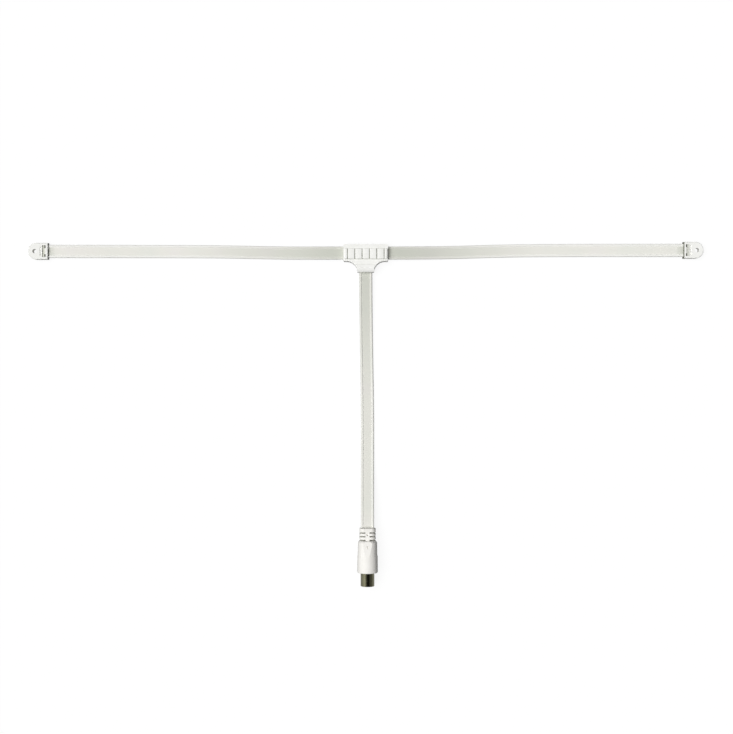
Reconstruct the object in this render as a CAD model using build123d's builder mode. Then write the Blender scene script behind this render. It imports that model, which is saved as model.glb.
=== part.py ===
from build123d import *
import os
from math import radians, tan

# FM indoor aerial. A flat two-wire ribbon is the folded dipole, held in the middle by a
# two-part tee and at each tip by an end piece with a pin hole. A second ribbon leads from
# the tee to a moulded coaxial plug with a slotted strain relief.
# Frame: origin under the middle of the tee, +X along the right arm, the lead towards -Y,
# +Z up from the surface that the aerial lies on. Lengths are in millimetres.

# Ribbon: two wires in round beads, with a thin web between them
ribbon_width = 9.0
bead_diameter = 1.8
web_thickness = 0.8
wire_diameter = 0.8
wire_clearance = 0.04
wire_bend = 1.0
ribbon_clearance = 0.1
surface_gap = 0.05
arc_share = 0.45

# Runs between the mouldings, and how far from each moulding the ribbon bends
arm_run = 204.55
lead_run = 176.7
left_rise = 1.25
right_rise = 1.95
plug_shift = 1.2
clip_level_run = 23.8
clip_slope_run = 61.8
arm_bow_run = 84.5
tee_slope_run = 44.5
tee_level_run = 12.5
stem_level_run = 13.6
stem_slope_run = 46.6
lead_bow_run = 98.6
plug_slope_run = 44.7
plug_level_run = 10.7

# Tee: front and back covers that meet in the ribbon's middle plane
tee_length = 31.0
tee_level = 3.4
front_depth = 4.0
stem_length = 7.4
tee_wall = 1.3
tee_floor = 1.4
bar_margin = 0.2
bar_land = 1.5
tee_corner = 0.8
tee_edge = 0.8
back_edge = 0.5
lip_thickness = 0.55
lip_height = 0.8
lip_clearance = 0.05
grip_length = 1.2
grip_inset = 3.4
grip_margin = 0.3
grip_clearance = 0.05

# Finger ribs and the rounded collar on the tee's front
rib_pairs = 2
rib_gap = 0.6
rib_margin = 0.9
end_rib_width = 1.65
rib_top_inset = 3.3
band_width = 3.1
band_drop = 0.45
rib_foot_inset = 1.7
rib_side = 1.0
rib_crown = 0.18
collar_length = 5.3
collar_step = 0.6
roll_length = 3.2
roll_radius = 5.0

# Solder joints on the bare wires
solder_inset = 0.15
solder_length = 2.0
solder_round = 0.3
pin_solder_wall = 0.4
feed_spare = 0.7
feed_bare = 2.4

# End piece
clip_grip = 4.4
clip_wall = 1.2
clip_cheek = 1.5
clip_edge = 0.6
link_reach = 1.4
link_room = 0.15
hole_wall = 1.0
pin_hole_diameter = 3.0
tip_reach = 4.6
mouth_depth = 1.0
mouth_margin = 0.5
mouth_relief = 0.8
mouth_round = 0.85
channel_offset = 2.95
channel_width = 2.05
channel_depth = 1.0
window_offset = 2.05
window_width = 1.0
window_length = 1.9
window_inset = 0.5
crease_offset = 5.0
crease_width = 1.4
crease_length = 7.0
crease_depth = 0.8

# Plug: moulded body, slotted strain relief, sleeve, insulator and pin
body_diameter = 14.2
body_draft = 0.25
body_ledge = 0.25
shoulder_round = 2.0
body_edge = 0.8
facet_length = 10.5
facet_depth = 0.95
facet_ledge = 0.12
relief_length = 8.5
relief_side = 1.1
relief_depth = 7.8
relief_round = 3.2
relief_edge = 0.5
slot_count = 3
slot_width = 0.9
spine_width = 2.8
relief_wall = 0.45
relief_core_round = 0.95
dimple_diameter = 1.5
relief_dimple_offset = 4.2
relief_dimple_depth = 1.6
facet_dimple_offset = 4.1
facet_dimple_depth = 0.95
ribbon_insert = 3.3
wire_room = 8.9
wire_lead_in = 1.6
sleeve_diameter = 9.5
sleeve_wall = 0.6
shank_step = 0.25
sleeve_reach = 9.2
sleeve_seat = 10.1
sleeve_edge = 0.2
seat_clearance = 0.02
insulator_length = 7.5
insulator_setback = 8.0
pin_diameter = 2.38
pin_setback = 0.6
pin_nose_round = 0.8
pin_flange_diameter = 4.4
pin_flange_length = 1.0
pin_tail_diameter = 1.8
pin_tail_length = 4.6

# Cuts run on this far past the faces that they open
overrun = 1.0

# Derived sizes
bead_offset = (ribbon_width - bead_diameter) / 2
bore_diameter = wire_diameter + 2 * wire_clearance
solder_diameter = bead_diameter - 2 * solder_inset
stem_width = ribbon_width + 2 * tee_wall
tee_height = stem_width + 2 * bar_margin
stem_reach = tee_height / 2 + stem_length
tee_fillet = min(stem_length, (tee_length - stem_width) / 2 - bar_land)
tee_face = tee_level + front_depth
clip_width = ribbon_width + 2 * clip_wall
clip_thickness = bead_diameter + 2 * clip_cheek
clip_link = clip_grip + link_reach
link_room_end = clip_link + solder_diameter / 2 + link_room
pin_hole_offset = link_room_end + hole_wall + pin_hole_diameter / 2
clip_length = pin_hole_offset + tip_reach
window_place = bead_offset - window_inset
channel_length = 2 * window_place + window_length
relief_width = ribbon_width + 2 * relief_side
slot_pitch = (relief_length - slot_width) / slot_count
body_length = ribbon_insert + wire_room + sleeve_seat
sleeve_bore = sleeve_diameter - 2 * sleeve_wall
shank_diameter = sleeve_diameter - 2 * shank_step

# Derived places
surface_level = bead_diameter / 2 + surface_gap
clip_level = clip_thickness / 2
clip_mouth = tee_length / 2 + arm_run
relief_start = -(stem_reach + lead_run)
body_start = relief_start - relief_length
body_end = body_start - body_length
sleeve_end = body_end - sleeve_reach
sleeve_start = body_end + sleeve_seat
plug_level = body_diameter / 2
ribbon_end = body_start - ribbon_insert
feed_level = -ribbon_width / 2 - solder_length - feed_spare
pin_tail_end = sleeve_end + insulator_setback + insulator_length + pin_flange_length + pin_tail_length

# Routes of the two ribbons, through the middle of their section
dipole_route = [
    Vector(-clip_mouth - clip_grip, left_rise, clip_level),
    Vector(-clip_mouth + clip_level_run, left_rise, clip_level),
    Vector(-clip_mouth + clip_slope_run, left_rise + 0.05, surface_level),
    Vector(-tee_length / 2 - arm_bow_run, left_rise - 0.1, surface_level),
    Vector(-tee_length / 2 - tee_slope_run, 0.2, surface_level),
    Vector(-tee_length / 2 - tee_level_run, 0, tee_level),
    Vector(tee_length / 2 + tee_level_run, 0, tee_level),
    Vector(tee_length / 2 + tee_slope_run, 0.5, surface_level),
    Vector(tee_length / 2 + arm_bow_run, right_rise - 0.1, surface_level),
    Vector(clip_mouth - clip_slope_run, right_rise + 0.15, surface_level),
    Vector(clip_mouth - clip_level_run, right_rise, clip_level),
    Vector(clip_mouth + clip_grip, right_rise, clip_level),
]
lead_route = [
    Vector(0, feed_level, tee_level),
    Vector(0, -stem_reach - stem_level_run, tee_level),
    Vector(0.4, -stem_reach - stem_slope_run, surface_level),
    Vector(plug_shift + 0.1, -stem_reach - lead_bow_run, surface_level),
    Vector(plug_shift, relief_start + plug_slope_run, surface_level),
    Vector(plug_shift, relief_start + plug_level_run, plug_level),
    Vector(plug_shift, ribbon_end, plug_level),
]


# Each corner's arc is as large as the shorter of its two runs allows
def corner_radii(points):
    radii = []
    for before, corner, after in zip(points, points[1:], points[2:]):
        turn = (corner - before).get_angle(after - corner)
        run = min((corner - before).length, (after - corner).length)
        radii.append(arc_share * run / tan(radians(turn / 2)))
    return radii


dipole_radii = corner_radii(dipole_route)
lead_radii = corner_radii(lead_route)
print("dipole radii", [round(radius) for radius in dipole_radii])
print("lead radii", [round(radius) for radius in lead_radii])


# Two beads and a web, with a margin all round and a bore for each wire
def ribbon_section(plane, margin=0.0, bore=0.0):
    with BuildSketch(plane) as section:
        Rectangle(2 * bead_offset, web_thickness + 2 * margin)
        with Locations((-bead_offset, 0), (bead_offset, 0)):
            Circle(bead_diameter / 2 + margin)
            if bore:
                Circle(bore / 2, mode=Mode.SUBTRACT)
    return section.sketch


def wire(points, radii):
    with BuildPart() as strand:
        with BuildLine() as path:
            FilletPolyline(*points, radius=radii)
        with BuildSketch(Plane(origin=path.line @ 0, z_dir=path.line % 0)):
            Circle(wire_diameter / 2)
        sweep()
    return strand.part


# A drop of solder drawn along a joint, with the wire's own passage through it
def solder_bead(plane):
    with BuildPart() as bead:
        with BuildSketch(plane):
            Circle(solder_diameter / 2)
        extrude(amount=solder_length / 2, both=True)
        chamfer(bead.edges().filter_by(GeomType.CIRCLE), length=solder_round)
        with BuildSketch(plane):
            Circle(wire_diameter / 2)
        extrude(amount=solder_length, both=True, mode=Mode.SUBTRACT)
    return bead.part


def shifted(points, offset):
    return [point + offset for point in points]


upper = Vector(0, bead_offset, 0)
lower = Vector(0, -bead_offset, 0)
left_link = Vector(-clip_mouth - clip_link, left_rise, clip_level)
right_link = Vector(clip_mouth + clip_link, right_rise, clip_level)
feed_joint = Vector(bead_offset, (feed_level - bead_offset - wire_bend) / 2, tee_level)
along_x = Plane(origin=(0, 0, tee_level), x_dir=(0, 1, 0), z_dir=(1, 0, 0))

# Dipole ribbon, in one length from tip to tip, with its lower bead cut away at the feed
with BuildPart() as dipole_ribbon:
    with BuildLine() as dipole_path:
        FilletPolyline(*dipole_route, radius=dipole_radii)
    start = Plane(origin=dipole_route[0], x_dir=(0, 1, 0), z_dir=(1, 0, 0))
    sweep(ribbon_section(start, bore=bore_diameter), path=dipole_path.line)
    with BuildSketch(Plane.XY.offset(tee_level)):
        with Locations((0, -ribbon_width / 2)):
            Rectangle(2 * (bead_offset + feed_bare), 2 * bead_diameter)
    extrude(amount=bead_diameter, both=True, mode=Mode.SUBTRACT)

dipole_upper_wire = wire(
    [left_link, left_link + upper]
    + shifted(dipole_route[1:-1], upper)
    + [right_link + upper, right_link],
    [wire_bend] + dipole_radii + [wire_bend],
)
dipole_lower_left_wire = wire(
    [left_link, left_link + lower]
    + shifted(dipole_route[1:6], lower)
    + [Vector(-bead_offset, -bead_offset, tee_level), Vector(-feed_joint.X, feed_joint.Y, tee_level)],
    [wire_bend] + dipole_radii[:5] + [wire_bend],
)
dipole_lower_right_wire = wire(
    [Vector(feed_joint.X, feed_joint.Y, tee_level), Vector(bead_offset, -bead_offset, tee_level)]
    + shifted(dipole_route[6:-1], lower)
    + [right_link + lower, right_link],
    [wire_bend] + dipole_radii[5:] + [wire_bend],
)

# Lead ribbon from the tee into the plug
with BuildPart() as lead_ribbon:
    with BuildLine() as lead_path:
        FilletPolyline(*lead_route, radius=lead_radii)
    start = Plane(origin=lead_route[0], x_dir=(1, 0, 0), z_dir=(0, -1, 0))
    sweep(ribbon_section(start, bore=bore_diameter), path=lead_path.line)

# The lead's left wire bends in to the plug's pin, the right wire runs on into the sleeve
pin_joint = Vector(plug_shift, pin_tail_end, plug_level)
bend_start = ribbon_end - wire_lead_in
bend_end = pin_tail_end + wire_lead_in
sleeve_wire = (sleeve_bore - wire_diameter) / 2 - seat_clearance
sleeve_joint = sleeve_start - solder_length
lead_left_wire = wire(
    [Vector(-feed_joint.X, feed_joint.Y, tee_level)]
    + shifted(lead_route[1:-1], Vector(-bead_offset, 0, 0))
    + [
        Vector(plug_shift - bead_offset, bend_start, plug_level),
        Vector(plug_shift, bend_end, plug_level),
        pin_joint,
    ],
    lead_radii + [wire_bend, wire_bend],
)
lead_right_wire = wire(
    [Vector(feed_joint.X, feed_joint.Y, tee_level)]
    + shifted(lead_route[1:-1], Vector(bead_offset, 0, 0))
    + [
        Vector(plug_shift + bead_offset, bend_start, plug_level),
        Vector(plug_shift + sleeve_wire, bend_end, plug_level),
        Vector(plug_shift + sleeve_wire, sleeve_joint, plug_level),
    ],
    lead_radii + [wire_bend, wire_bend],
)

left_feed_solder = solder_bead(Plane(origin=(-feed_joint.X, feed_joint.Y, tee_level), z_dir=(0, 1, 0)))
right_feed_solder = solder_bead(Plane(origin=(feed_joint.X, feed_joint.Y, tee_level), z_dir=(0, 1, 0)))
left_end_solder = solder_bead(Plane(origin=left_link, z_dir=(0, 1, 0)))
right_end_solder = solder_bead(Plane(origin=right_link, z_dir=(0, 1, 0)))


# Outline of the tee, drawn in by an inset. The arcs beside the stem keep their centres.
def tee_outline(height, inset=0.0):
    arc_x = stem_width / 2 + tee_fillet
    arc_y = -tee_height / 2 - tee_fillet
    stem_end = inset - stem_reach
    neck_end = max(arc_y, stem_end)
    corner = tee_corner - inset
    with BuildSketch(Plane.XY.offset(height)) as outline:
        with Locations((0, neck_end / 2)):
            Rectangle(2 * arc_x, -neck_end)
        with Locations((-arc_x, arc_y), (arc_x, arc_y)):
            Circle(tee_fillet + inset, mode=Mode.SUBTRACT)
        with Locations((0, stem_end / 2)):
            Rectangle(stem_width - 2 * inset, -stem_end)
        if corner > 0:
            RectangleRounded(tee_length - 2 * inset, tee_height - 2 * inset, radius=corner)
        else:
            Rectangle(tee_length - 2 * inset, tee_height - 2 * inset)
    return outline.sketch


# Passages for the ribbons through the tee's three ends
arm_passage = ribbon_section(along_x, ribbon_clearance)
stem_mouth = Plane(origin=(0, -stem_reach - overrun, tee_level), x_dir=(1, 0, 0), z_dir=(0, 1, 0))
stem_passage = ribbon_section(stem_mouth, ribbon_clearance)

# Bars that grip the ribbon's web between its beads
grip_width = 2 * bead_offset - bead_diameter - 2 * grip_margin
web_face = web_thickness / 2 + grip_clearance


def grip_bars(height):
    with BuildSketch(Plane.XY.offset(height)) as bars:
        with Locations((-tee_length / 2 + grip_inset, 0), (tee_length / 2 - grip_inset, 0)):
            Rectangle(grip_length, grip_width)
        with Locations((0, -stem_reach + grip_inset)):
            Rectangle(grip_width, grip_length)
    return bars.sketch


# Back cover: a tray with a raised lip just inside its rim
with BuildPart() as tee_back_cover:
    extrude(tee_outline(0), amount=tee_level)
    fillet(tee_back_cover.faces().sort_by(Axis.Z)[0].edges(), radius=back_edge)
    extrude(tee_outline(tee_floor, tee_wall), amount=tee_level, mode=Mode.SUBTRACT)
    lip_foot = tee_level - lip_height
    lip_inset = tee_wall - lip_thickness
    extrude(tee_outline(lip_foot, lip_inset), amount=2 * lip_height)
    extrude(tee_outline(tee_floor, tee_wall), amount=2 * tee_level, mode=Mode.SUBTRACT)
    with BuildSketch(Plane.XY.offset(tee_level)):
        Rectangle(2 * tee_length, ribbon_width + 2 * ribbon_clearance)
        with Locations((0, -stem_reach)):
            Rectangle(ribbon_width + 2 * ribbon_clearance, stem_reach)
    extrude(amount=tee_level, mode=Mode.SUBTRACT)
    extrude(arm_passage, amount=tee_length, both=True, mode=Mode.SUBTRACT)
    extrude(stem_passage, amount=stem_reach / 2, mode=Mode.SUBTRACT)
    extrude(grip_bars(tee_floor), amount=tee_level - web_face - tee_floor)

# Front cover: filleted tee with crowned finger ribs and a collar rolled over the lead's exit
with BuildPart() as tee_front_cover:
    extrude(tee_outline(tee_level), amount=tee_face - tee_level)
    with BuildSketch(Plane.YZ):
        with BuildLine():
            Polyline(
                (tee_height / 2 - band_width, tee_face),
                (tee_height / 2, tee_face - band_drop),
                (tee_height / 2 + overrun, tee_face - band_drop),
                (tee_height / 2 + overrun, tee_face + overrun),
                (tee_height / 2 - band_width, tee_face + overrun),
                close=True,
            )
        make_face()
    extrude(amount=tee_length, both=True, mode=Mode.SUBTRACT)
    front_rim = tee_front_cover.faces().sort_by(Axis.Z)[-1].edges()
    fillet(front_rim, radius=tee_edge)

    rib_top = tee_height / 2 - rib_top_inset
    rib_length = tee_height - rib_top_inset - rib_foot_inset
    rib_field = tee_length - 2 * (rib_margin + end_rib_width) - rib_gap
    rib_pitch = rib_field / (2 * rib_pairs + 1)
    rib_plane = Plane(origin=(0, rib_top, tee_face), x_dir=(1, 0, 0), z_dir=(0, -1, 0))
    rib_spans = [(rib_pitch * i, rib_pitch - rib_gap) for i in range(-rib_pairs, rib_pairs + 1)]
    end_rib = rib_pitch * (rib_pairs + 0.5) + (rib_gap + end_rib_width) / 2
    rib_spans += [(-end_rib, end_rib_width), (end_rib, end_rib_width)]
    for centre, width in rib_spans:
        with BuildSketch(rib_plane):
            with BuildLine():
                foot = Polyline(
                    (centre - width / 2, rib_side),
                    (centre - width / 2, -tee_edge),
                    (centre + width / 2, -tee_edge),
                    (centre + width / 2, rib_side),
                )
                ThreePointArc(foot @ 1, (centre, rib_side + rib_crown * width / rib_pitch), foot @ 0)
            make_face()
        extrude(amount=rib_length)

    collar_top = tee_face + collar_step
    with BuildPart() as collar:
        extrude(tee_outline(tee_level), amount=collar_top - tee_level)
        split(bisect_by=Plane(origin=(0, collar_length - stem_reach, 0), z_dir=(0, -1, 0)))
        collar_sides = collar.faces().sort_by(Axis.Z)[-1].edges().filter_by(GeomType.CIRCLE)
        fillet(collar_sides, radius=tee_edge)
    with BuildSketch(Plane.YZ):
        with Locations((-stem_reach, collar_top)):
            Rectangle(2 * roll_length, 2 * roll_radius)
        with Locations((-stem_reach + roll_length, collar_top - roll_radius)):
            Circle(roll_radius, mode=Mode.SUBTRACT)
    extrude(amount=stem_width, both=True, mode=Mode.SUBTRACT)

    pocket_depth = tee_face - tee_floor - tee_level
    extrude(tee_outline(tee_level, tee_wall), amount=pocket_depth, mode=Mode.SUBTRACT)
    rebate = tee_outline(tee_level, lip_inset - lip_clearance)
    extrude(rebate, amount=lip_height + lip_clearance, mode=Mode.SUBTRACT)
    extrude(arm_passage, amount=tee_length, both=True, mode=Mode.SUBTRACT)
    extrude(stem_passage, amount=stem_reach / 2, mode=Mode.SUBTRACT)
    extrude(grip_bars(tee_level + web_face), amount=pocket_depth - web_face)


# End piece, moulded over the tip of the ribbon. The base plane has its origin at the mouth
# on the surface, and its x direction runs out towards the rounded tip.
def end_piece(base):
    top = base.offset(clip_thickness)
    middle = base.offset(clip_level)
    mouth = Plane(origin=middle.origin, x_dir=base.y_dir, z_dir=base.x_dir)
    side = Plane(origin=top.origin, x_dir=base.x_dir, z_dir=-base.y_dir)
    straight = clip_length - clip_width / 2
    with BuildPart() as piece:
        with BuildSketch(base):
            with Locations((straight / 2, 0)):
                Rectangle(straight, clip_width)
            with Locations((straight, 0)):
                Circle(clip_width / 2)
        extrude(amount=clip_thickness)
        rims = piece.faces().filter_by(Axis.Z).edges()
        fillet(rims, radius=clip_edge)

        with BuildSketch(top):
            with Locations((channel_offset, 0)):
                Rectangle(channel_width, channel_length)
        extrude(amount=-channel_depth, mode=Mode.SUBTRACT)
        with BuildSketch(side):
            with BuildLine():
                Polyline(
                    (crease_offset - crease_width / 2, 0),
                    (crease_offset, -crease_depth),
                    (crease_offset + crease_width / 2, 0),
                    close=True,
                )
            make_face()
        extrude(amount=crease_length / 2, both=True, mode=Mode.SUBTRACT)
        with BuildSketch(top):
            with Locations((window_offset, -window_place), (window_offset, window_place)):
                Rectangle(window_width, window_length)
        extrude(amount=-clip_thickness / 2, mode=Mode.SUBTRACT)

        with BuildSketch(mouth):
            mouth_height = bead_diameter + 2 * mouth_relief
            RectangleRounded(ribbon_width + 2 * mouth_margin, mouth_height, radius=mouth_round)
        extrude(amount=mouth_depth, mode=Mode.SUBTRACT)
        extrude(ribbon_section(mouth, ribbon_clearance), clip_grip + link_room, mode=Mode.SUBTRACT)
        with BuildSketch(middle):
            with Locations(((clip_grip + link_room_end) / 2, 0)):
                Rectangle(link_room_end - clip_grip, ribbon_width)
        extrude(amount=solder_diameter / 2 + link_room, both=True, mode=Mode.SUBTRACT)

        with BuildSketch(base):
            with Locations((pin_hole_offset, 0)):
                Circle(pin_hole_diameter / 2)
        extrude(amount=clip_thickness, mode=Mode.SUBTRACT)
    return piece.part


left_end_piece = end_piece(Plane(origin=(-clip_mouth, left_rise, 0), x_dir=(-1, 0, 0), z_dir=(0, 0, 1)))
right_end_piece = end_piece(Plane(origin=(clip_mouth, right_rise, 0), x_dir=(1, 0, 0), z_dir=(0, 0, 1)))

# Plug planes look along the plug, away from the tee
plug_centre = Vector(plug_shift, 0, plug_level)


def plug_plane(place):
    return Plane(origin=plug_centre + Vector(0, place, 0), x_dir=(-1, 0, 0), z_dir=(0, -1, 0))


plug_axis = Axis(plug_centre, (0, -1, 0))
plug_side = Plane(origin=plug_centre, x_dir=(0, -1, 0), z_dir=(1, 0, 0))

# Moulded body: a drafted round grip, stepped in above a ledge and flattened towards the relief
with BuildPart() as plug_body:
    facet_end = body_start - facet_length
    top_radius = body_diameter / 2 - body_draft - body_ledge
    facet_radius = top_radius + body_draft * facet_length / body_length
    with BuildSketch(plug_side) as grip:
        with BuildLine():
            Polyline(
                (-body_start, 0),
                (-body_start, top_radius),
                (-facet_end, facet_radius),
                (-facet_end, facet_radius + body_ledge),
                (-body_end, body_diameter / 2),
                (-body_end, 0),
                close=True,
            )
        make_face()
        shoulder = grip.vertices().group_by(Axis.X)[0].sort_by(Axis.Y)[-1]
        fillet(shoulder, radius=shoulder_round)
        foot = grip.vertices().group_by(Axis.X)[-1].sort_by(Axis.Y)[-1]
        fillet(foot, radius=body_edge)
    revolve(axis=plug_axis)

    for face in (1, -1):
        with BuildSketch(plug_side):
            with BuildLine():
                Polyline(
                    (-body_start, face * (top_radius - facet_depth)),
                    (-facet_end, face * (facet_radius - facet_ledge)),
                    (-facet_end, face * body_diameter),
                    (-body_start, face * body_diameter),
                    close=True,
                )
            make_face()
        extrude(amount=body_diameter, both=True, mode=Mode.SUBTRACT)

    with BuildSketch(plug_plane(relief_start)):
        end_round = min(relief_round, relief_depth / 2 - relief_edge)
        RectangleRounded(relief_width, relief_depth, radius=end_round)
    extrude(amount=relief_length + shoulder_round)
    fillet(plug_body.faces().sort_by(Axis.Y)[-1].edges(), radius=relief_edge)

    # Slots between the relief's links, down to a sleeve round the ribbon and a spine
    for i in range(slot_count):
        with BuildSketch(plug_plane(body_start + slot_width / 2 + slot_pitch * i)):
            Rectangle(2 * relief_width, 2 * relief_depth)
            Rectangle(spine_width, 2 * relief_depth, mode=Mode.SUBTRACT)
            core_width = ribbon_width + 2 * ribbon_clearance + 2 * relief_wall
            core_depth = bead_diameter + 2 * ribbon_clearance + 2 * relief_wall
            RectangleRounded(core_width, core_depth, radius=relief_core_round, mode=Mode.SUBTRACT)
        extrude(amount=slot_width / 2, both=True, mode=Mode.SUBTRACT)

    dimples = [
        (body_start + relief_dimple_offset, relief_depth / 2 - relief_dimple_depth),
        (body_start - facet_dimple_offset, top_radius - facet_depth - facet_dimple_depth),
    ]
    for place, floor in dimples:
        with BuildSketch(Plane.XY.offset(plug_level + floor)):
            with Locations((plug_shift, place)):
                Circle(dimple_diameter / 2)
        extrude(amount=body_diameter / 2, mode=Mode.SUBTRACT)

    # Ribbon passage, wire chamber and the seat for the sleeve
    passage = ribbon_section(plug_plane(relief_start), ribbon_clearance)
    extrude(passage, relief_start - sleeve_start, mode=Mode.SUBTRACT)
    with BuildSketch(plug_plane(ribbon_end - ribbon_clearance)):
        Circle(sleeve_bore / 2)
    extrude(amount=ribbon_end - sleeve_start, mode=Mode.SUBTRACT)
    with BuildSketch(plug_plane(sleeve_start)):
        Circle(shank_diameter / 2 + seat_clearance)
    extrude(amount=sleeve_seat + overrun, mode=Mode.SUBTRACT)

# Sleeve: a turned tube with rounded lips, and a thinner shank that the body grips
with BuildPart() as plug_sleeve:
    with BuildSketch(plug_plane(sleeve_start)):
        Circle(shank_diameter / 2)
    extrude(amount=sleeve_seat)
    with BuildSketch(plug_plane(body_end)):
        Circle(sleeve_diameter / 2)
    extrude(amount=sleeve_reach)
    with BuildSketch(plug_plane(sleeve_start)):
        Circle(sleeve_bore / 2)
    extrude(amount=sleeve_seat + sleeve_reach, mode=Mode.SUBTRACT)
    fillet(plug_sleeve.faces().sort_by(Axis.Y)[0].edges(), radius=sleeve_edge)

insulator_front = sleeve_end + insulator_setback
insulator_back = insulator_front + insulator_length
with BuildPart() as plug_insulator:
    with BuildSketch(plug_plane(insulator_back)):
        Circle(sleeve_bore / 2 - seat_clearance)
        Circle(pin_diameter / 2 + seat_clearance, mode=Mode.SUBTRACT)
    extrude(amount=insulator_length)

# Turned pin: bullet nose, shank, a flange behind the insulator and a tail for the wire
with BuildPart() as plug_pin:
    nose = sleeve_end + pin_setback
    with BuildSketch(plug_plane(insulator_back)):
        Circle(pin_diameter / 2)
    extrude(amount=insulator_back - nose)
    fillet(plug_pin.faces().sort_by(Axis.Y)[0].edges(), radius=pin_nose_round)
    with BuildSketch(plug_plane(insulator_back + pin_flange_length)):
        Circle(pin_flange_diameter / 2)
    extrude(amount=pin_flange_length)
    with BuildSketch(plug_plane(pin_tail_end)):
        Circle(pin_tail_diameter / 2)
    extrude(amount=pin_tail_length)

# Solder round the pin's tail and the left wire's end
with BuildPart() as pin_solder:
    joint = plug_plane(pin_tail_end)
    with BuildSketch(joint):
        Circle(pin_tail_diameter / 2 + pin_solder_wall)
    extrude(amount=solder_length / 2, both=True)
    chamfer(pin_solder.edges().filter_by(GeomType.CIRCLE), length=solder_round)
    with BuildSketch(joint):
        Circle(pin_tail_diameter / 2)
    extrude(amount=solder_length, mode=Mode.SUBTRACT)
    with BuildSketch(joint):
        Circle(wire_diameter / 2)
    extrude(amount=-solder_length, mode=Mode.SUBTRACT)

# Solder between the right wire's end and the inside of the sleeve
with BuildPart() as sleeve_solder:
    with BuildSketch(plug_plane(sleeve_joint + solder_length)):
        with Locations((-sleeve_wire, 0)):
            Circle(solder_diameter / 2)
        Circle(sleeve_bore / 2, mode=Mode.INTERSECT)
        with Locations((-sleeve_wire, 0)):
            Circle(wire_diameter / 2, mode=Mode.SUBTRACT)
    extrude(amount=solder_length)

pieces = {
    "tee_front_cover": tee_front_cover.part,
    "tee_back_cover": tee_back_cover.part,
    "dipole_ribbon": dipole_ribbon.part,
    "dipole_upper_wire": dipole_upper_wire,
    "dipole_lower_left_wire": dipole_lower_left_wire,
    "dipole_lower_right_wire": dipole_lower_right_wire,
    "left_end_solder": left_end_solder,
    "right_end_solder": right_end_solder,
    "left_feed_solder": left_feed_solder,
    "right_feed_solder": right_feed_solder,
    "left_end_piece": left_end_piece,
    "right_end_piece": right_end_piece,
    "lead_ribbon": lead_ribbon.part,
    "lead_left_wire": lead_left_wire,
    "lead_right_wire": lead_right_wire,
    "plug_body": plug_body.part,
    "plug_sleeve": plug_sleeve.part,
    "plug_insulator": plug_insulator.part,
    "plug_pin": plug_pin.part,
    "pin_solder": pin_solder.part,
    "sleeve_solder": sleeve_solder.part,
}
os.makedirs("parts", exist_ok=True)
for name, piece in pieces.items():
    piece.label = name
    export_step(piece, f"parts/{name}.step")

# A swept ribbon's volume against its section times its length
section_area = ribbon_section(Plane.XY, bore=bore_diameter).area
print("dipole ribbon", round(dipole_ribbon.part.volume), round(section_area * dipole_path.wire().length))
print("lead ribbon", round(lead_ribbon.part.volume), round(section_area * lead_path.wire().length))
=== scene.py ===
import math
from itertools import accumulate
import bpy
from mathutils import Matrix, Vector


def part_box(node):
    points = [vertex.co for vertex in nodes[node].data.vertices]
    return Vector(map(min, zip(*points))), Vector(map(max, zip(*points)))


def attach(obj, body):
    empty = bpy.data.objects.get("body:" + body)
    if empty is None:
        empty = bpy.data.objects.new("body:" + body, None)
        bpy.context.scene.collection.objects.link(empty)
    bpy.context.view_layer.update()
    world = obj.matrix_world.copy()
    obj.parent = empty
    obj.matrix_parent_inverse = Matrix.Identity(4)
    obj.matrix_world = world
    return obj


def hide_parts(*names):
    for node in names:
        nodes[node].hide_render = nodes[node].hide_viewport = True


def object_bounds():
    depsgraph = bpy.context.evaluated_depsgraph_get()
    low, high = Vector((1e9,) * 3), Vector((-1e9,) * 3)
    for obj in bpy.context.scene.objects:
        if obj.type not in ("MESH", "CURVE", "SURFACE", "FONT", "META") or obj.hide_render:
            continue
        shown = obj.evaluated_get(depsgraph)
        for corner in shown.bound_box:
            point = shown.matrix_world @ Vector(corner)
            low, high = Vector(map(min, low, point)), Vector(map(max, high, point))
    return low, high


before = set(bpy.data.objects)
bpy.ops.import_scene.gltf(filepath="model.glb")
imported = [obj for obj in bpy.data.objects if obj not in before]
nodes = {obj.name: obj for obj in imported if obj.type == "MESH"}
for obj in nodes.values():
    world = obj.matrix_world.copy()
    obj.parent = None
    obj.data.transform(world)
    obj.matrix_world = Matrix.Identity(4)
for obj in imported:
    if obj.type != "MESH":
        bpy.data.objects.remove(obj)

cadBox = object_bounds()
bpy.ops.object.select_all(action="DESELECT")
print("frame loaded,", len(nodes), "nodes")

mm = 0.001

# a colour mix's sockets, by number because their names repeat
mixShare = 0
mixFrom = 6
mixTo = 7
mixResult = 2


# sRGB hex to linear, with alpha
def linearColour(hexText):
    channels = [int(hexText[i:i + 2], 16) / 255 for i in (0, 2, 4)]
    return [c / 12.92 if c <= 0.04045 else ((c + 0.055) / 1.055) ** 2.4 for c in channels] + [1.0]


# adds one node with its settings, fixed inputs and links
def addNode(tree, kind, inputs=None, links=None, **settings):
    node = tree.nodes.new(kind)
    for name, value in settings.items():
        setattr(node, name, value)
    for socket, value in (inputs or {}).items():
        node.inputs[socket].default_value = value
    for socket, source in (links or {}).items():
        tree.links.new(source, node.inputs[socket])
    return node


# sets a ramp's stops from (place, hex) pairs
def setStops(ramp, stops):
    elements = ramp.color_ramp.elements
    while len(elements) < len(stops):
        elements.new(0.5)                    # moved to its place below
    for element, (place, hexText) in zip(elements, stops):
        element.position = place
        element.color = linearColour(hexText)


def newMaterial(name):
    material = bpy.data.materials.new(name)
    material.use_nodes = True
    material.node_tree.nodes.clear()
    return material, material.node_tree


def dress(material, *pieces):
    for piece in pieces:
        piece.data.materials.clear()
        piece.data.materials.append(material)


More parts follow.
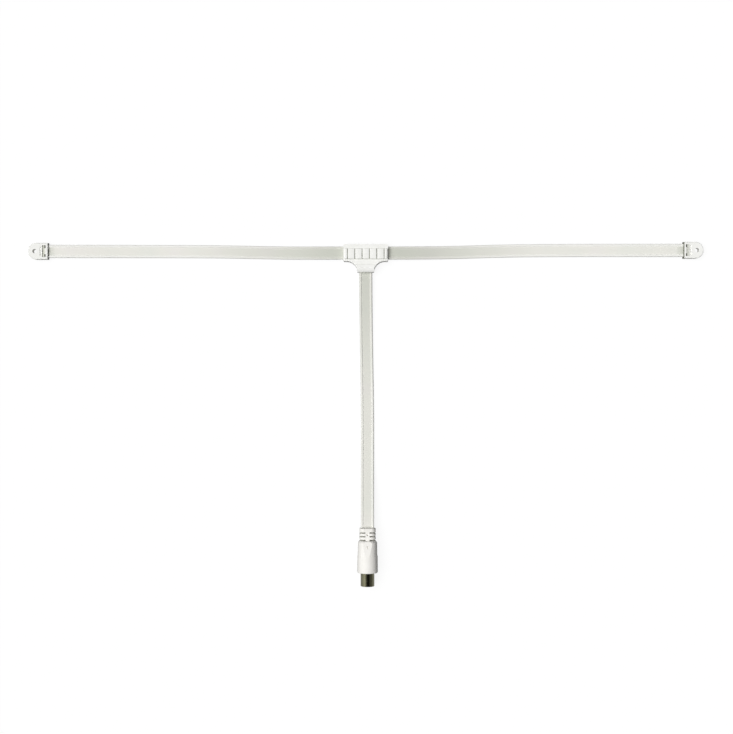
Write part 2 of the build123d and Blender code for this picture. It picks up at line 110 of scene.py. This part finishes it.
def selectOnly(piece):
    bpy.ops.object.select_all(action="DESELECT")
    piece.select_set(True)
    bpy.context.view_layer.objects.active = piece


# a colour that drifts between a finish's tones, in patches of its own size
def patchyTone(tree, place, finish):
    patches = addNode(
        tree, "ShaderNodeTexNoise", {"Scale": 1 / finish["patch"], "Detail": finish["patchDetail"]},
        {"Vector": place},
    )
    tone = addNode(tree, "ShaderNodeValToRGB", links={"Fac": patches.outputs["Fac"]})
    setStops(tone, finish["tones"])
    return tone.outputs["Color"]


# mixes painted shade into a colour inside each shaded place, fading over its edge
def layPaintedShade(tree, place, colour, shadePlaces, edge):
    parts = addNode(tree, "ShaderNodeSeparateXYZ", links={0: place})
    for low, high, hexText, share in shadePlaces:
        inside = None
        for axis, along in enumerate(parts.outputs):
            middle = (low[axis] + high[axis]) / 2 * mm
            half = (high[axis] - low[axis]) / 2 * mm
            offset = addNode(tree, "ShaderNodeMath", {1: middle}, {0: along}, operation="SUBTRACT")
            away = addNode(tree, "ShaderNodeMath", links={0: offset.outputs[0]}, operation="ABSOLUTE")
            within = addNode(
                tree, "ShaderNodeMapRange",
                {"From Min": half - edge, "From Max": half + edge, "To Min": 1.0, "To Max": 0.0},
                {"Value": away.outputs[0]},
            ).outputs["Result"]
            if inside:
                within = addNode(
                    tree, "ShaderNodeMath", links={0: inside, 1: within}, operation="MULTIPLY"
                ).outputs[0]
            inside = within
        amount = addNode(tree, "ShaderNodeMath", {1: share}, {0: inside}, operation="MULTIPLY")
        mix = addNode(
            tree, "ShaderNodeMix", {mixTo: linearColour(hexText)},
            {mixShare: amount.outputs[0], mixFrom: colour}, data_type="RGBA",
        )
        colour = mix.outputs[mixResult]
    return colour


# roughness from a pattern, relief too where the finish has depth, then the shader
def finishSurface(tree, colour, pattern, finish):
    smoothest, roughest = finish["roughness"]
    rough = addNode(
        tree, "ShaderNodeMapRange", {"To Min": smoothest, "To Max": roughest}, {"Value": pattern}
    )
    links = {"Base Color": colour, "Roughness": rough.outputs["Result"]}
    if "depth" in finish:
        bump = addNode(
            tree, "ShaderNodeBump", {"Strength": finish["relief"], "Distance": finish["depth"]},
            {"Height": pattern},
        )
        links["Normal"] = bump.outputs["Normal"]
    shader = addNode(tree, "ShaderNodeBsdfPrincipled", finish["shader"], links)
    addNode(tree, "ShaderNodeOutputMaterial", links={"Surface": shader.outputs["BSDF"]})


# Camera straight above the middle of the picture
photoView = {
    "across": 733,                           # pixels
    "scale": 0.6967 * mm,                    # a pixel on the floor
    "centre": (0.5 * mm, -78.95 * mm),
    "height": 0.9,
    "sensor": 36.0,
    "nearest": 0.01,
}


def addCamera(view):
    cameraData = bpy.data.cameras.new("photoCamera")
    camera = bpy.data.objects.new("photoCamera", cameraData)
    bpy.context.scene.collection.objects.link(camera)
    camera.location = (*view["centre"], view["height"])
    cameraData.sensor_width = view["sensor"]
    cameraData.lens = view["sensor"] * view["height"] / (view["across"] * view["scale"])
    cameraData.clip_start = view["nearest"]
    bpy.context.scene.camera = camera


addCamera(photoView)
print("camera set")

# Flat two-wire ribbon: two round beads joined by a thin web
ribbonForm = {
    "width": 9.0 * mm,
    "bead": 1.8 * mm,
    "web": 0.8 * mm,
    "rootFillet": 0.25 * mm,
    "beadSteps": 20,
    "webSteps": 6,
    "smoothness": 32,                        # points to a stretch of the route
    "sharpFrom": 40.0,                       # degrees, edges past it stay sharp
    "beadShade": 0.45,                        # share of the web's painted shade near the tee that the beads take
    "mouthShadow": 0.9,                        # painted shadow on the web beside an end piece
    "mouthShade": 5.0 * mm,                  # and how far that reaches
    "endMouth": 220.9 * mm,                  # past it the jacket lies in an end piece
}
# the grey is painted shade near the tee: it starts at its reach from the tee, is full a fade nearer and
# never under its rest.
# Its bead is how white the beads go where the web isn't grey, partly painted light on their round sides
dipoleRibbon = {
    "name": "dipole_ribbon_jacket",
    "route": [
        (-224.45, 1.25, 2.4), (-196.25, 1.25, 2.4), (-158.25, 1.3, 0.95), (-100.0, 1.15, 0.95),
        (-60.0, 0.2, 0.95), (-28.0, 0.0, 3.4), (28.0, 0.0, 3.4), (60.0, 0.5, 0.95),
        (100.0, 1.85, 0.95), (158.25, 2.1, 0.95), (196.25, 1.95, 2.4), (224.45, 1.95, 2.4),
    ],
    "exit": (-220.05 * mm, 1.25 * mm, 2.4 * mm),
    "paintedShade": {"reach": 119.0 * mm, "fade": 95.0 * mm, "rest": 0.0, "bead": 1.0},
    "mouths": [-220.05 * mm, 220.05 * mm],
    "notchCentre": (0.0, -4.5 * mm, 3.4 * mm),
    "notchSize": (12.0 * mm, 3.6 * mm, 3.6 * mm),
    "carries": [
        "dipole_upper_wire", "dipole_lower_left_wire", "dipole_lower_right_wire", "left_end_solder",
        "right_end_solder", "left_feed_solder", "right_feed_solder",
    ],
}
leadRibbon = {
    "name": "lead_ribbon_jacket",
    "route": [
        (0.0, -7.2, 3.4), (0.0, -27.0, 3.4), (0.4, -60.0, 0.95), (1.3, -112.0, 0.95),
        (1.2, -145.4, 0.95), (1.2, -179.4, 7.1), (1.2, -201.9, 7.1),
    ],
    "exit": (0.0, -13.4 * mm, 3.4 * mm),
    "paintedShade": {"reach": 130.0 * mm, "fade": 125.0 * mm, "rest": 0.2, "bead": 0.4},
    "mouths": [],
    "carries": [
        "lead_left_wire", "lead_right_wire", "plug_body", "plug_sleeve", "plug_insulator", "plug_pin",
        "pin_solder", "sleeve_solder",
    ],
}


# the section's outline, as (across, up) pairs
def ribbonOutline(form):
    radius = form["bead"] / 2
    offset = form["width"] / 2 - radius
    root = math.asin(form["web"] / form["bead"])
    sweep = 2 * (math.pi - root)
    half = form["web"] / 2
    reach = offset - radius * math.cos(root) - form["rootFillet"]
    webPlaces = [reach * (2 * i / form["webSteps"] - 1) for i in range(form["webSteps"] + 1)]
    outline = []
    for side in (1, -1):
        for i in range(form["beadSteps"] + 1):
            angle = sweep * (i / form["beadSteps"] - 0.5)
            outline.append((side * (offset + radius * math.cos(angle)), side * radius * math.sin(angle)))
        outline += [(-side * x, side * half) for x in webPlaces]
    return outline


# points along the route's own smooth line
def routeLine(ribbon, form):
    curve = bpy.data.curves.new(ribbon["name"] + "_route", "CURVE")
    curve.dimensions = "3D"
    spline = curve.splines.new("NURBS")
    spline.points.add(len(ribbon["route"]) - 1)
    for point, place in zip(spline.points, ribbon["route"]):
        point.co = (*[value * mm for value in place], 1.0)
    spline.order_u = 3
    spline.use_endpoint_u = True
    spline.resolution_u = form["smoothness"]
    holder = bpy.data.objects.new(curve.name, curve)
    bpy.context.scene.collection.objects.link(holder)
    bpy.context.view_layer.update()
    line = bpy.data.meshes.new_from_object(holder.evaluated_get(bpy.context.evaluated_depsgraph_get()))
    points = [vertex.co.copy() for vertex in line.vertices]
    bpy.data.objects.remove(holder)
    bpy.data.curves.remove(curve)
    bpy.data.meshes.remove(line)
    return points


# lengths from a line's start to each of its points
def runningLengths(points):
    return list(accumulate(((b - a).length for a, b in zip(points, points[1:])), initial=0.0))


# sweeps the section along the line, level across
def sweepSection(name, outline, points):
    count = len(outline)
    places = []
    for i, point in enumerate(points):
        ahead = points[min(i + 1, len(points) - 1)]
        behind = points[max(i - 1, 0)]
        tangent = (ahead - behind).normalized()
        across = Vector((-tangent.y, tangent.x, 0)).normalized()
        up = tangent.cross(across)
        places += [point + across * x + up * y for x, y in outline]
    faces = [list(range(count - 1, -1, -1)), list(range(len(places) - count, len(places)))]
    for ring in range(len(points) - 1):
        start = ring * count
        for i in range(count):
            after = (i + 1) % count
            faces.append([start + i, start + after, start + count + after, start + count + i])
    mesh = bpy.data.meshes.new(name)
    mesh.from_pydata(places, [], faces)
    return mesh


# lays a map on the jacket, mm round its section and mm along it
def mapRibbon(mesh, outline, points):
    count = len(outline)
    sides = [math.dist(a, b) for a, b in zip(outline, outline[1:] + outline[:1])]
    rounds = list(accumulate(sides, initial=0.0))
    runs = runningLengths(points)
    layer = mesh.uv_layers.new(name="along")
    for face in mesh.polygons:
        around = [mesh.loops[k].vertex_index % count for k in face.loop_indices]
        wraps = 0 in around and count - 1 in around and len(around) == 4    # not the end caps
        for k, place in zip(face.loop_indices, around):
            turn = rounds[count] if wraps and place == 0 else rounds[place]
            layer.data[k].uv = (turn / mm, runs[mesh.loops[k].vertex_index // count] / mm)


# marks the jacket's painted light and shade: grey near the tee and beside the end pieces' mouths, dark
# where an end piece hides it, and beads whiter, as thick milky polyethylene is, and also painted lighter
# to lift the shade on their round sides
def markRibbon(mesh, ribbon, form, outline, points):
    tone = ribbon["paintedShade"]
    webReach = form["width"] / 2 - form["bead"]
    marks = {"paintedShade": [], "bead": [], "endPaintedShade": []}
    for point in points:
        fromTee = Vector((point.x, point.y)).length
        byTee = max(tone["rest"], min(1.0, (tone["reach"] - fromTee) / tone["fade"]))
        byMouth = max([1 - abs(point.x - x) / form["mouthShade"] for x in ribbon["mouths"]] + [0.0])
        webShade = min(1.0, byTee + byMouth * form["mouthShadow"])
        beadShade = byTee * form["beadShade"]
        beadWhite = (1.0 - byTee) * tone["bead"]
        # painted shade: the jacket inside an end piece goes dark, for the shade seen through the windows
        inEnd = 1.0 if abs(point.x) > form["endMouth"] else 0.0
        for across, _ in outline:
            onWeb = abs(across) < webReach
            marks["paintedShade"].append(webShade if onWeb else beadShade)
            marks["bead"].append(0.0 if onWeb else beadWhite)
            marks["endPaintedShade"].append(inEnd)
    for name, values in marks.items():
        mesh.attributes.new(name, "FLOAT", "POINT").data.foreach_set("value", values)


def makeRibbon(ribbon, form):
    outline = ribbonOutline(form)
    points = routeLine(ribbon, form)
    mesh = sweepSection(ribbon["name"], outline, points)
    mapRibbon(mesh, outline, points)
    markRibbon(mesh, ribbon, form, outline, points)
    piece = bpy.data.objects.new(ribbon["name"], mesh)
    bpy.context.scene.collection.objects.link(piece)
    selectOnly(piece)
    bpy.ops.object.mode_set(mode="EDIT")
    bpy.ops.mesh.select_all(action="SELECT")
    bpy.ops.mesh.normals_make_consistent(inside=False)
    bpy.ops.object.mode_set(mode="OBJECT")
    bpy.ops.object.shade_smooth_by_angle(angle=math.radians(form["sharpFrom"]))
    return piece, points


# cuts the lower bead away at the feed, inside the tee
def cutNotch(piece, ribbon):
    bpy.ops.object.select_all(action="DESELECT")
    bpy.ops.mesh.primitive_cube_add(size=1, location=ribbon["notchCentre"], scale=ribbon["notchSize"])
    cutter = bpy.context.active_object
    cut = piece.modifiers.new("feedNotch", "BOOLEAN")
    cut.operation = "DIFFERENCE"
    cut.object = cutter
    cut.solver = "EXACT"
    selectOnly(piece)
    bpy.ops.object.modifier_apply(modifier=cut.name)
    bpy.data.objects.remove(cutter)


dipole, dipoleLine = makeRibbon(dipoleRibbon, ribbonForm)
cutNotch(dipole, dipoleRibbon)
lead, leadLine = makeRibbon(leadRibbon, ribbonForm)
for piece, node in ((dipole, "dipole_ribbon"), (lead, "lead_ribbon")):
    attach(piece, "root")
    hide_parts(node)
lengths = [round(runningLengths(line)[-1], 4) for line in (dipoleLine, leadLine)]
print("ribbons laid,", lengths[0], "and", lengths[1], "m")


# ABS and soft PVC are moulded alike: a drift of tone, painted shade in their hollows and the tool's grain
def makeMoulding(name, finish, shadePlaces):
    material, tree = newMaterial(name)
    place = addNode(tree, "ShaderNodeTexCoord").outputs["Object"]
    colour = layPaintedShade(tree, place, patchyTone(tree, place, finish), shadePlaces, finish["shadeEdge"])
    grain = addNode(
        tree, "ShaderNodeTexNoise", {"Scale": 1 / finish["grain"], "Detail": finish["grainDetail"]},
        {"Vector": place},
    )
    finishSurface(tree, colour, grain.outputs["Fac"], finish)
    return material


# ABS, moulded in a spark-eroded tool: clean white and satin, with a slight drift of tone and a fine grain,
# drawn coarser than the real one so that it shows. Shade is painted into its grooves, channels, windows
# and one mouth
mouldedAbs = {
    "patch": 9.0 * mm, "patchDetail": 3.0, "tones": [(0.3, "EFEFEB"), (0.7, "F4F4F1")],
    "grain": 0.35 * mm, "grainDetail": 2.0, "depth": 0.012 * mm, "relief": 0.5,
    "roughness": (0.36, 0.5), "shader": {"IOR": 1.54}, "shadeEdge": 0.1 * mm,
}
# each place of painted shade: low and high corner in mm, colour and share
teePaintedShade = [
    ((-14.6, -4.5, 7.0), (14.6, 2.9, 7.9), "B4B6AA", 0.9),               # painted shade between the ribs
    ((-6.0, -8.5, 7.0), (6.0, -7.9, 7.8), "BCBEB4", 0.8),                # painted shade at the foot of the collar
]
leftEndPaintedShade = [
    ((-224.03, -9.0, 0.0), (-221.98, 9.0, 4.6), "C3C5B6", 0.7),          # painted shade in the channel
    ((-222.7, 3.3, 0.0), (-221.5, 5.4, 3.9), "55564C", 0.9),             # painted shade in the upper window
    ((-222.7, -2.9, 0.0), (-221.5, -0.8, 3.9), "55564C", 0.9),           # painted shade in the lower window
]
rightEndPaintedShade = [
    ((221.98, -9.0, 0.0), (224.03, 9.0, 4.6), "A2A497", 0.6),            # painted shade in the channel
    ((219.0, -9.0, 0.0), (220.55, 12.0, 9.0), "6C6E60", 1.0),            # painted shade on the mouth's wall
    ((221.5, 4.0, 0.0), (222.7, 6.1, 3.9), "55564C", 0.9),               # painted shade in the upper window
    ((221.5, -2.2, 0.0), (222.7, -0.1, 3.9), "55564C", 0.9),             # painted shade in the lower window
]
teeAbs = makeMoulding("mouldedAbsTee", mouldedAbs, teePaintedShade)
dress(teeAbs, nodes["tee_front_cover"], nodes["tee_back_cover"])
dress(makeMoulding("mouldedAbsLeftEnd", mouldedAbs, leftEndPaintedShade), nodes["left_end_piece"])
dress(makeMoulding("mouldedAbsRightEnd", mouldedAbs, rightEndPaintedShade), nodes["right_end_piece"])

# Polyethylene, extruded over the wires: milky and waxy, whiter in the thick beads than in the thin web,
# with faint draw lines along its length, drawn coarser than real ones so that they show. Painted on it:
# shade near the tee, beside the end pieces and inside them, and light on the beads' round sides
extrudedJacket = {
    "patch": 28.0 * mm, "patchDetail": 2.0,
    "tones": [(0.3, "E2E3DC"), (0.5, "E6E5DE"), (0.7, "E7E4E0")],
    "drawLine": 0.5, "drawRun": 60.0,        # mm, as the jacket's map is
    "drawDetail": 2.0, "depth": 0.006 * mm, "relief": 0.5,
    "roughness": (0.38, 0.52), "shader": {"IOR": 1.51},
    "shades": [                              # mark, colour and share
        # painted shade near the tee and mouths, beads partly painted lighter, painted shade inside the end
        # pieces
        ("paintedShade", "C6C8BE", 1.0), ("bead", "F6F6F2", 0.7), ("endPaintedShade", "66675C", 1.0),
    ],
}


def makeExtrudedJacket(finish):
    material, tree = newMaterial("extrudedPolyethylene")
    coords = addNode(tree, "ShaderNodeTexCoord")
    colour = patchyTone(tree, coords.outputs["Object"], finish)
    for name, hexText, share in finish["shades"]:
        mark = addNode(tree, "ShaderNodeAttribute", attribute_name=name)
        amount = addNode(tree, "ShaderNodeMapRange", {"To Max": share}, {"Value": mark.outputs["Fac"]})
        mix = addNode(
            tree, "ShaderNodeMix", {mixTo: linearColour(hexText)},
            {mixShare: amount.outputs["Result"], mixFrom: colour}, data_type="RGBA",
        )
        colour = mix.outputs[mixResult]
    spread = addNode(
        tree, "ShaderNodeMapping", {"Scale": (1 / finish["drawLine"], 1 / finish["drawRun"], 1.0)},
        {"Vector": coords.outputs["UV"]},
    )
    lines = addNode(
        tree, "ShaderNodeTexNoise", {"Scale": 1.0, "Detail": finish["drawDetail"]},
        {"Vector": spread.outputs["Vector"]},
    )
    finishSurface(tree, colour, lines.outputs["Fac"], finish)
    return material


dress(makeExtrudedJacket(extrudedJacket), dipole, lead)

# Soft PVC, moulded over the plug: warm white, duller than the ABS, with a faint tool grain, also drawn
# coarser than the real one, and painted shade in its slots
softPvc = {
    "patch": 7.0 * mm, "patchDetail": 3.0, "tones": [(0.3, "F0EEE9"), (0.7, "F4F2EE")],
    "grain": 0.4 * mm, "grainDetail": 2.0, "depth": 0.015 * mm, "relief": 0.5,
    "roughness": (0.42, 0.56), "shader": {"IOR": 1.53}, "shadeEdge": 0.1 * mm,
}
plugSlots = {"middles": (-198.15, -195.617, -193.083), "half": 0.45}     # mm
# painted shade inside each slot of the strain relief
plugSlotPaintedShade = [
    ((-8.0, y - plugSlots["half"], 0.0), (10.0, y + plugSlots["half"], 10.5), "8E8F83", 0.8)
    for y in plugSlots["middles"]
]
dress(makeMoulding("mouldedSoftPvc", softPvc, plugSlotPaintedShade), nodes["plug_body"])

# Nickel on turned brass: dark olive-grey mirror, broken by fine rings from the lathe, drawn coarser than
# real ones so that they show
nickelPlate = {
    "patch": 3.0 * mm, "patchDetail": 3.0, "tones": [(0.3, "8A8873"), (0.7, "98967F")],
    "ring": 0.25 * mm, "ringDetail": 3.0, "depth": 0.004 * mm, "relief": 0.4,
    "roughness": (0.18, 0.3), "shader": {"Metallic": 1.0},
}


def makeNickelPlate(finish):
    material, tree = newMaterial("turnedNickelPlate")
    place = addNode(tree, "ShaderNodeTexCoord").outputs["Object"]
    along = addNode(
        tree, "ShaderNodeMapping", {"Scale": (0.0, 1 / finish["ring"], 0.0)}, {"Vector": place}
    )
    rings = addNode(
        tree, "ShaderNodeTexNoise", {"Scale": 1.0, "Detail": finish["ringDetail"]},
        {"Vector": along.outputs["Vector"]},
    )
    finishSurface(tree, patchyTone(tree, place, finish), rings.outputs["Fac"], finish)
    return material


dress(makeNickelPlate(nickelPlate), nodes["plug_sleeve"], nodes["plug_pin"])

# Copper, drawn through a die: warm and bright, dulled in patches where air has reached it, its gloss
# broken by fine flecks
drawnCopper = {
    "patch": 2.0 * mm, "patchDetail": 2.0, "tones": [(0.35, "8F5A3C"), (0.65, "C98A62")],
    "fleck": 0.15 * mm, "fleckDetail": 2.0,
    "roughness": (0.25, 0.45), "shader": {"Metallic": 1.0},
    "wires": [
        "dipole_upper_wire", "dipole_lower_left_wire", "dipole_lower_right_wire", "lead_left_wire",
        "lead_right_wire",
    ],
}


def makeDrawnCopper(finish):
    material, tree = newMaterial("drawnCopper")
    place = addNode(tree, "ShaderNodeTexCoord").outputs["Object"]
    flecks = addNode(
        tree, "ShaderNodeTexNoise", {"Scale": 1 / finish["fleck"], "Detail": finish["fleckDetail"]},
        {"Vector": place},
    )
    finishSurface(tree, patchyTone(tree, place, finish), flecks.outputs["Fac"], finish)
    return material


dress(makeDrawnCopper(drawnCopper), *[nodes[name] for name in drawnCopper["wires"]])

# Solder, set from the melt: grey, frosted where it cooled in small crystals
setSolder = {
    "patch": 1.2 * mm, "patchDetail": 2.0, "tones": [(0.35, "8E8F90"), (0.65, "B4B5B4")],
    "frost": 0.3 * mm, "depth": 0.02 * mm, "relief": 0.5,
    "roughness": (0.35, 0.6), "shader": {"Metallic": 1.0},
    "beads": [
        "left_end_solder", "right_end_solder", "left_feed_solder", "right_feed_solder", "pin_solder",
        "sleeve_solder",
    ],
}


def makeSetSolder(finish):
    material, tree = newMaterial("frostedSolder")
    place = addNode(tree, "ShaderNodeTexCoord").outputs["Object"]
    frost = addNode(tree, "ShaderNodeTexVoronoi", {"Scale": 1 / finish["frost"]}, {"Vector": place})
    finishSurface(tree, patchyTone(tree, place, finish), frost.outputs["Distance"], finish)
    return material


dress(makeSetSolder(setSolder), *[nodes[name] for name in setSolder["beads"]])

# Natural polypropylene, turned to fit the sleeve: cloudy, with faint rings on its face
turnedInsulator = {
    "patch": 2.5 * mm, "patchDetail": 2.0, "tones": [(0.35, "DAD9D1"), (0.65, "E6E5DE")],
    "ring": 0.1885 * mm, "ringWaver": 1.0, "ringDetail": 1.0, "depth": 0.01 * mm, "relief": 0.4,
    "roughness": (0.4, 0.55),
    "shader": {
        "IOR": 1.49, "Subsurface Weight": 0.3, "Subsurface Radius": (1.0, 1.0, 0.9),
        "Subsurface Scale": 1.0 * mm,
    },
}
wavePitch = math.pi / 10                     # a ring wave's pitch where its scale is 1


def makeTurnedInsulator(finish, axis):
    material, tree = newMaterial("turnedPolypropylene")
    place = addNode(tree, "ShaderNodeTexCoord").outputs["Object"]
    centred = addNode(tree, "ShaderNodeMapping", {"Location": (-axis.x, 0.0, -axis.z)}, {"Vector": place})
    rings = addNode(
        tree, "ShaderNodeTexWave",
        {
            "Scale": wavePitch / finish["ring"], "Distortion": finish["ringWaver"],
            "Detail": finish["ringDetail"],
        },
        {"Vector": centred.outputs["Vector"]}, wave_type="RINGS", rings_direction="Y",
    )
    finishSurface(tree, patchyTone(tree, place, finish), rings.outputs["Fac"], finish)
    return material


sleeveLow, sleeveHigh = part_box("plug_sleeve")
dress(makeTurnedInsulator(turnedInsulator, (sleeveLow + sleeveHigh) / 2), nodes["plug_insulator"])
print("materials on")

# Floor, white to the eye and keeping a faint shadow
studioFloor = {
    "size": 6.0,
    "paper": "FFFFFF",
    "glow": 0.9,                             # the rest of what the camera sees takes the shadow
    "bounce": "80807E",                      # what it gives back to the object
    "mirrored": 0.4,                         # share of its bright side that gloss mirrors
}


def makeFloor(floor):
    bpy.ops.object.select_all(action="DESELECT")
    bpy.ops.mesh.primitive_plane_add(size=floor["size"], location=(0, 0, cadBox[0].z))
    plane = bpy.context.active_object
    plane.name = "floor"
    material, tree = newMaterial("whitePaper")
    path = addNode(tree, "ShaderNodeLightPath")
    mirrored = addNode(
        tree, "ShaderNodeMath", {1: floor["mirrored"]}, {0: path.outputs["Is Glossy Ray"]},
        operation="MULTIPLY",
    )
    seen = addNode(
        tree, "ShaderNodeMath", links={0: path.outputs["Is Camera Ray"], 1: mirrored.outputs[0]},
        operation="MAXIMUM",
    )
    paper = addNode(tree, "ShaderNodeBsdfDiffuse", {"Color": linearColour(floor["paper"])})
    white = addNode(tree, "ShaderNodeEmission", {"Color": linearColour(floor["paper"]), "Strength": 1.0})
    lit = addNode(
        tree, "ShaderNodeMixShader", {0: floor["glow"]}, {1: paper.outputs[0], 2: white.outputs[0]}
    )
    dim = addNode(tree, "ShaderNodeBsdfDiffuse", {"Color": linearColour(floor["bounce"])})
    mix = addNode(
        tree, "ShaderNodeMixShader", links={0: seen.outputs[0], 1: dim.outputs[0], 2: lit.outputs[0]}
    )
    addNode(tree, "ShaderNodeOutputMaterial", links={"Surface": mix.outputs[0]})
    plane.data.materials.append(material)


makeFloor(studioFloor)

# One soft lamp from the left lights all. Gloss mirrors a room of its own, and the camera sees white
studioLight = {
    "aim": (0.36, -0.02, -0.93),
    "spread": 54.0,                          # degrees
    "strength": 3.46,
    "fill": "000000",                        # the room gives matt surfaces no light
    "backdrop": "FFFFFF",
    "mirrored": [                            # left to right: a bright strip, then dark
        (0.0, "C8C8BE"), (0.08, "FFFFFA"), (0.18, "F4F4EC"), (0.3, "84847E"),
        (0.42, "202020"), (0.68, "141414"), (0.85, "686864"), (1.0, "84847E"),
    ],
}


def makeLight(light):
    lamp = bpy.data.lights.new("key", "SUN")
    lamp.angle = math.radians(light["spread"])
    lamp.energy = light["strength"]
    holder = bpy.data.objects.new("key", lamp)
    bpy.context.scene.collection.objects.link(holder)
    holder.rotation_euler = Vector(light["aim"]).to_track_quat("-Z", "Y").to_euler()
    holder.visible_glossy = False
    world = bpy.data.worlds.new("room")
    bpy.context.scene.world = world
    world.use_nodes = True
    tree = world.node_tree
    tree.nodes.clear()
    path = addNode(tree, "ShaderNodeLightPath")
    direction = addNode(tree, "ShaderNodeTexCoord").outputs["Generated"]
    parts = addNode(tree, "ShaderNodeSeparateXYZ", links={0: direction})
    across = addNode(
        tree, "ShaderNodeMapRange", {"From Min": -1.0, "From Max": 1.0}, {"Value": parts.outputs["X"]}
    )
    strip = addNode(tree, "ShaderNodeValToRGB", links={"Fac": across.outputs["Result"]})
    setStops(strip, light["mirrored"])
    seen = addNode(
        tree, "ShaderNodeMix", {mixFrom: linearColour(light["fill"])},
        {mixShare: path.outputs["Is Glossy Ray"], mixTo: strip.outputs["Color"]}, data_type="RGBA",
    )
    final = addNode(
        tree, "ShaderNodeMix", {mixTo: linearColour(light["backdrop"])},
        {mixShare: path.outputs["Is Camera Ray"], mixFrom: seen.outputs[mixResult]}, data_type="RGBA",
    )
    back = addNode(tree, "ShaderNodeBackground", links={"Color": final.outputs[mixResult]})
    addNode(tree, "ShaderNodeOutputWorld", links={"Surface": back.outputs[0]})


makeLight(studioLight)
bpy.context.scene.view_settings.view_transform = "Standard"
print("light and floor set")
